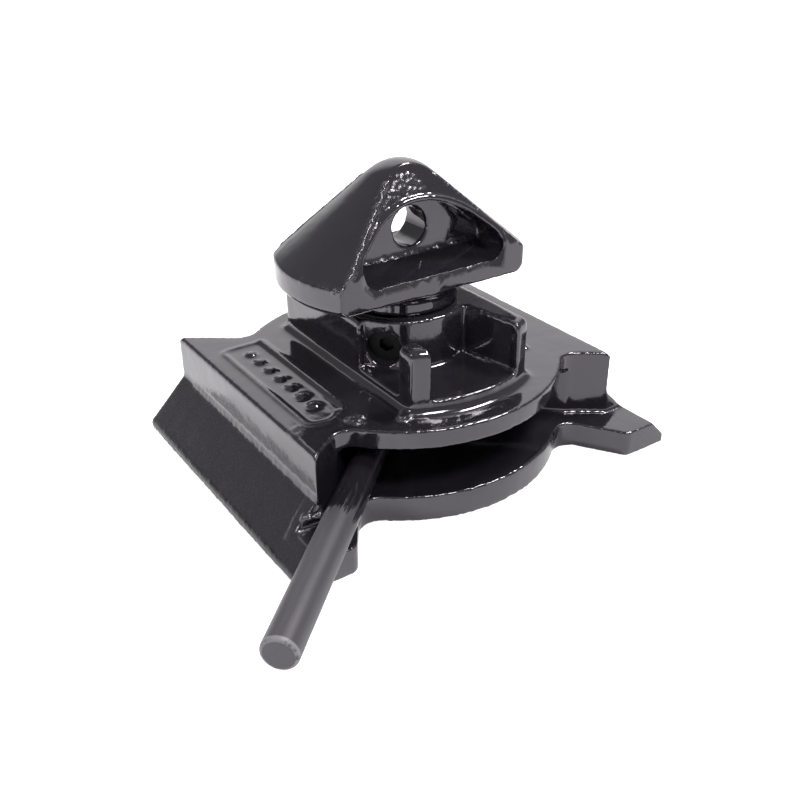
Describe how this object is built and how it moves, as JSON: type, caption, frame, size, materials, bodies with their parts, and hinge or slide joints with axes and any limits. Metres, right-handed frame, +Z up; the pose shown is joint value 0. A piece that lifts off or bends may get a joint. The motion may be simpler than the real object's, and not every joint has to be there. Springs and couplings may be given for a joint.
{
  "type": "container twistlock",
  "caption": "Dovetail-base container twistlock: cast housing with collar, one-piece turning cone spindle and a rod handle.",
  "frame": {"origin": "on the spindle's axis, at the underside of the base", "axes": "+Z up along the spindle, +Y along the dovetail towards the back, +X across the dovetail"},
  "size_m": [0.2252, 0.1956, 0.1292],
  "materials": {
    "housing_paint": "gloss black paint on rough casting",
    "spindle_paint": "gloss black paint on forging",
    "handle_paint": "satin black paint",
    "screw_steel": "dark steel screws",
    "plated_steel": "dull plated steel"
  },
  "bodies": {
    "base": {"housing": "housing_paint", "stop_screw": "screw_steel"},
    "turning": {"spindle": "spindle_paint", "handle": "handle_paint", "handle_set_screw": "screw_steel", "thrust_washer": "plated_steel", "retaining_nut": "plated_steel", "nut_pin": "plated_steel"}
  },
  "joints": [
    {"name": "spindle_turn", "type": "hinge", "parent": "base", "child": "turning", "pos_m": [0, 0, 0], "axis": [0, 0, 1], "range_deg": [0, 90]}
  ]
}
